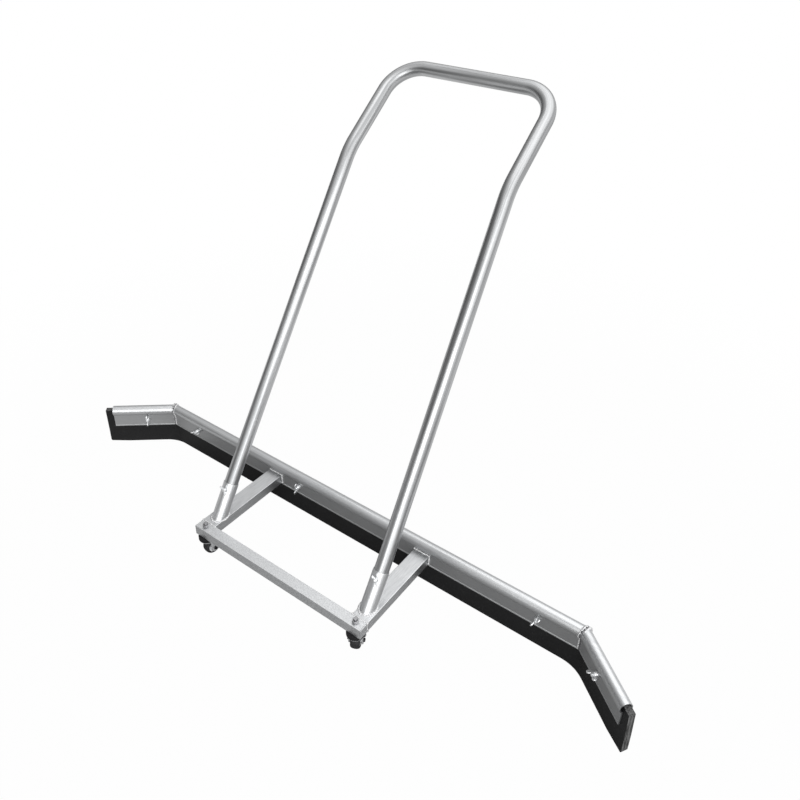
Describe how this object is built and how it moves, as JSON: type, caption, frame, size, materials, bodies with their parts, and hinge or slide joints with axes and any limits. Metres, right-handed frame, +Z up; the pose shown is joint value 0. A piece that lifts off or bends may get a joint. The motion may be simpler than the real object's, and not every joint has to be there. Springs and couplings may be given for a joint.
{
  "type": "court squeegee",
  "caption": "Wide push squeegee for a court: hooded aluminium beam with raked wings and a thick rubber blade, braked castors and a bent tube handle in sockets.",
  "frame": {"origin": "floor point under the middle of the bounding box", "axes": "+X along the beam, -Y the way it is pushed, +Z up"},
  "size_m": [1.5046, 0.7344, 1.0077],
  "materials": {
    "beam_aluminium": "brushed extrusion",
    "frame_aluminium": "satin mill finish",
    "handle_aluminium": "polished drawn tube",
    "blade_rubber": "matt black rubber",
    "zinc_steel": "bright zinc plating",
    "black_steel": "black oxide",
    "black_nylon": "moulded black nylon",
    "tyre_rubber": "matt black",
    "grey_plastic": "light grey moulding"
  },
  "bodies": {
    "frame": {"arm_left": "frame_aluminium", "arm_right": "frame_aluminium", "bar_end_plate_left": "frame_aluminium", "bar_end_plate_right": "frame_aluminium", "beam_centre": "beam_aluminium", "beam_wing_left": "beam_aluminium", "beam_wing_right": "beam_aluminium", "blade_bolt_1": "zinc_steel", "blade_bolt_2": "zinc_steel", "blade_bolt_3": "zinc_steel", "blade_bolt_4": "zinc_steel", "blade_bolt_5": "zinc_steel", "blade_bolt_6": "zinc_steel", "castor_cup_left": "black_nylon", "castor_cup_right": "black_nylon", "castor_nut_left": "zinc_steel", "castor_nut_right": "zinc_steel", "castor_stem_left": "zinc_steel", "castor_stem_right": "zinc_steel", "cross_bar": "frame_aluminium", "rubber_blade": "blade_rubber", "socket_boss_left": "frame_aluminium", "socket_boss_right": "frame_aluminium", "socket_left": "frame_aluminium", "socket_right": "frame_aluminium"},
    "handle": {"handle_tube": "handle_aluminium"},
    "wing_nut_1": {"wing_nut_1": "zinc_steel"},
    "wing_nut_2": {"wing_nut_2": "zinc_steel"},
    "wing_nut_3": {"wing_nut_3": "zinc_steel"},
    "wing_nut_4": {"wing_nut_4": "zinc_steel"},
    "wing_nut_5": {"wing_nut_5": "zinc_steel"},
    "wing_nut_6": {"wing_nut_6": "zinc_steel"},
    "socket_screw_left": {"socket_screw_left": "zinc_steel"},
    "castor_left_swivel": {"castor_fork_left": "zinc_steel", "castor_axle_left": "black_steel", "castor_rivet_1_left": "zinc_steel", "castor_rivet_2_left": "zinc_steel"},
    "castor_left_wheel": {"castor_tyre_left": "tyre_rubber", "castor_hub_left": "grey_plastic"},
    "castor_left_pedal": {"castor_pedal_left": "black_nylon"},
    "socket_screw_right": {"socket_screw_right": "zinc_steel"},
    "castor_right_swivel": {"castor_fork_right": "zinc_steel", "castor_axle_right": "black_steel", "castor_rivet_1_right": "zinc_steel", "castor_rivet_2_right": "zinc_steel"},
    "castor_right_wheel": {"castor_tyre_right": "tyre_rubber", "castor_hub_right": "grey_plastic"},
    "castor_right_pedal": {"castor_pedal_right": "black_nylon"}
  },
  "joints": [
    {"name": "handle_slide", "type": "slide", "parent": "frame", "child": "handle", "axis": [0, 0.527, 0.8499], "range_m": [0, 0.06]},
    {"name": "wing_nut_1_turn", "type": "hinge", "parent": "frame", "child": "wing_nut_1", "pos_m": [-0.65592, -0.15817, 0.0753], "axis": [0.6428, -0.766, 0], "continuous": true},
    {"name": "wing_nut_2_turn", "type": "hinge", "parent": "frame", "child": "wing_nut_2", "pos_m": [-0.506, -0.11125, 0.0753], "axis": [0, -1, 0], "continuous": true},
    {"name": "wing_nut_3_turn", "type": "hinge", "parent": "frame", "child": "wing_nut_3", "pos_m": [-0.14502, -0.11125, 0.0753], "axis": [0, -1, 0], "continuous": true},
    {"name": "wing_nut_4_turn", "type": "hinge", "parent": "frame", "child": "wing_nut_4", "pos_m": [0.14502, -0.11125, 0.0753], "axis": [0, -1, 0], "continuous": true},
    {"name": "wing_nut_5_turn", "type": "hinge", "parent": "frame", "child": "wing_nut_5", "pos_m": [0.506, -0.11125, 0.0753], "axis": [0, -1, 0], "continuous": true},
    {"name": "wing_nut_6_turn", "type": "hinge", "parent": "frame", "child": "wing_nut_6", "pos_m": [0.65592, -0.15817, 0.0753], "axis": [-0.6428, -0.766, 0], "continuous": true},
    {"name": "socket_screw_left_turn", "type": "hinge", "parent": "frame", "child": "socket_screw_left", "pos_m": [-0.217, -0.26842, 0.14079], "axis": [0.2079, -0.8313, 0.5154], "continuous": true},
    {"name": "socket_screw_right_turn", "type": "hinge", "parent": "frame", "child": "socket_screw_right", "pos_m": [0.217, -0.26842, 0.14079], "axis": [0.2079, -0.8313, 0.5154], "continuous": true},
    {"name": "castor_left_swivel_turn", "type": "hinge", "parent": "frame", "child": "castor_left_swivel", "pos_m": [-0.218, -0.34775, 0.058], "axis": [0, 0, 1], "continuous": true},
    {"name": "castor_left_wheel_turn", "type": "hinge", "parent": "castor_left_swivel", "child": "castor_left_wheel", "pos_m": [-0.21675, -0.33884, 0.02], "axis": [-0.9903, 0.1392, 0], "continuous": true},
    {"name": "castor_left_brake", "type": "hinge", "parent": "castor_left_swivel", "child": "castor_left_pedal", "pos_m": [-0.21619, -0.33488, 0.031], "axis": [-0.9903, 0.1392, 0], "range_deg": [0, 10]},
    {"name": "castor_right_swivel_turn", "type": "hinge", "parent": "frame", "child": "castor_right_swivel", "pos_m": [0.218, -0.34775, 0.058], "axis": [0, 0, 1], "continuous": true},
    {"name": "castor_right_wheel_turn", "type": "hinge", "parent": "castor_right_swivel", "child": "castor_right_wheel", "pos_m": [0.21405, -0.33966, 0.02], "axis": [-0.8988, -0.4384, 0], "continuous": true},
    {"name": "castor_right_brake", "type": "hinge", "parent": "castor_right_swivel", "child": "castor_right_pedal", "pos_m": [0.2123, -0.33606, 0.031], "axis": [-0.8988, -0.4384, 0], "range_deg": [0, 10]}
  ]
}
